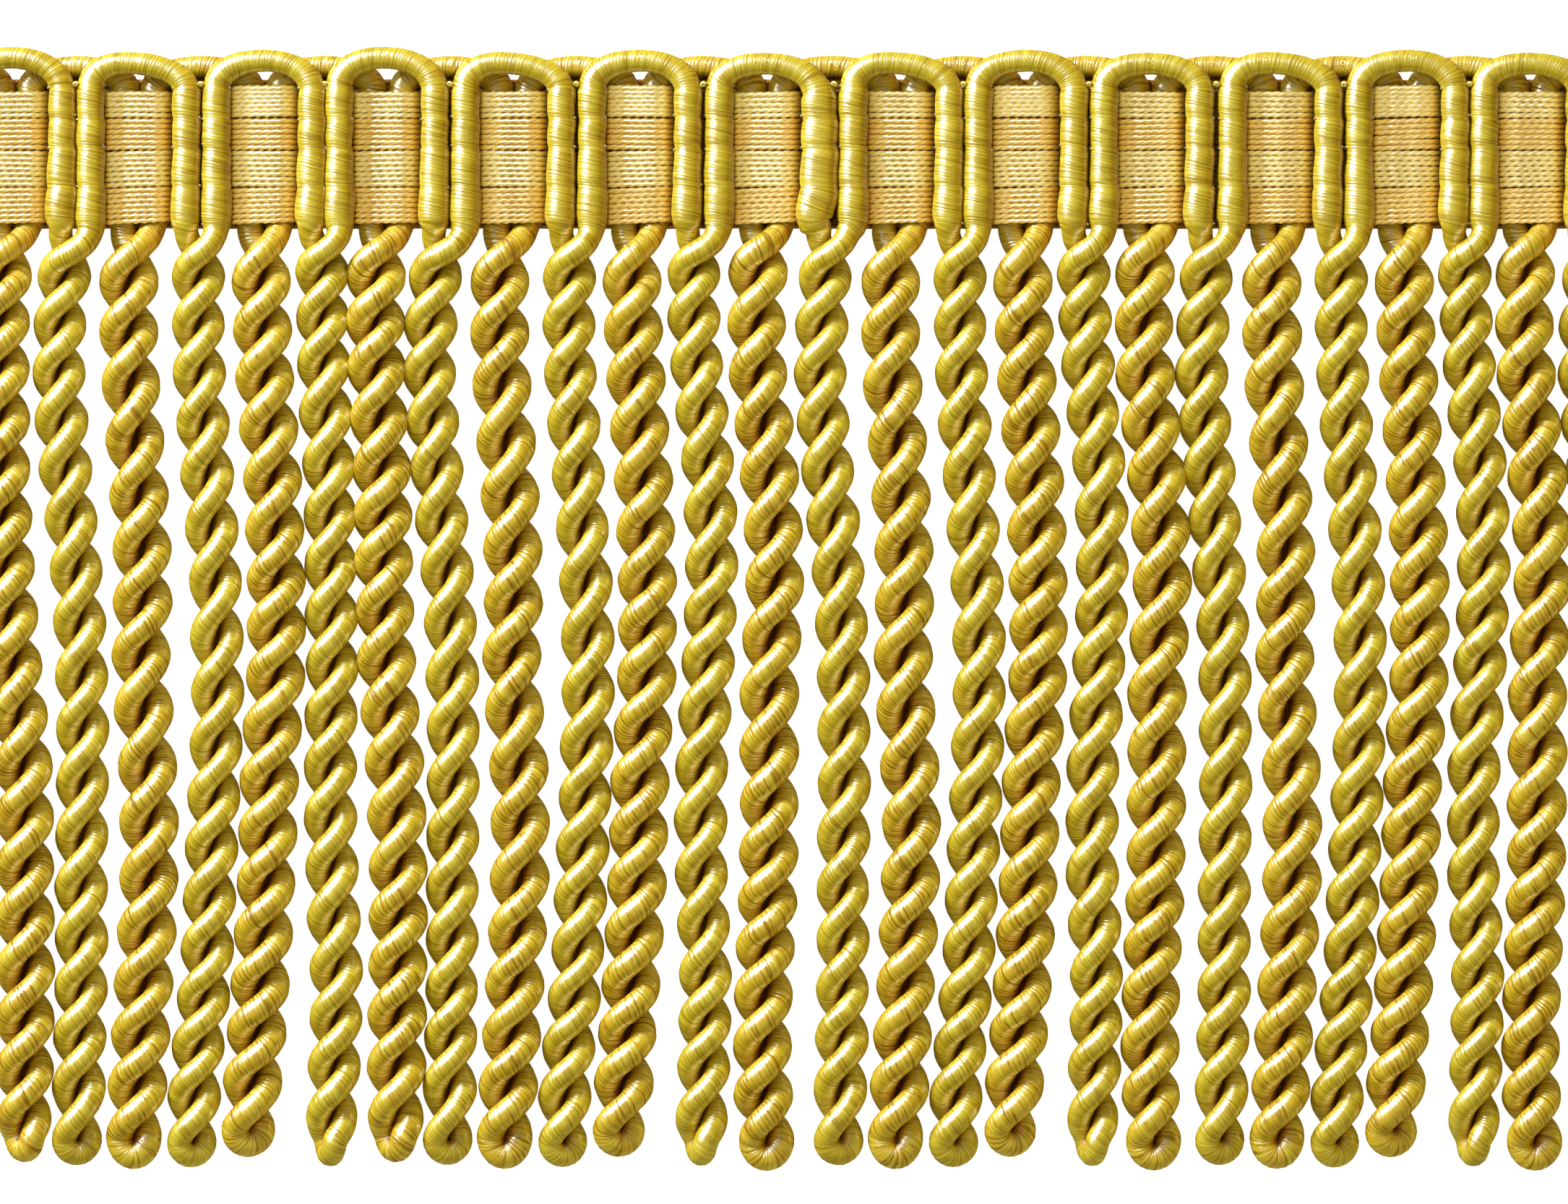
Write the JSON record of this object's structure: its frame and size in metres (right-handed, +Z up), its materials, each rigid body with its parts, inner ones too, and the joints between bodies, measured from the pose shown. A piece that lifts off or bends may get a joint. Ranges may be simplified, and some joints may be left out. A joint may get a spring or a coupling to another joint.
{
  "type": "fringe trim",
  "caption": "Flat length of bullion fringe: a looped cord heading bound with bands of thread, and a skirt of hanging twisted cord strands that end in closed loops.",
  "frame": {"origin": "under the middle of the trim's outline, on the surface it lies on", "axes": "+X along the trim, +Y towards the looped heading, +Z up out of the trim's face"},
  "size_m": [0.2296, 0.1498, 0.0069],
  "materials": {
    "front_cord": "lustrous wrapped rayon gimp cord, pale olive gold",
    "back_cord": "lustrous wrapped rayon gimp cord, deeper gold with yellow streaks",
    "cream_thread": "lustrous two-ply thread, cream",
    "tan_thread": "lustrous two-ply thread, tan"
  },
  "bodies": {
    "root": {"front_cord": "front_cord", "back_cord": "back_cord", "cream_band_upper": "cream_thread", "tan_band_upper": "tan_thread", "cream_band_lower": "cream_thread", "tan_band_lower": "tan_thread"}
  },
  "joints": []
}
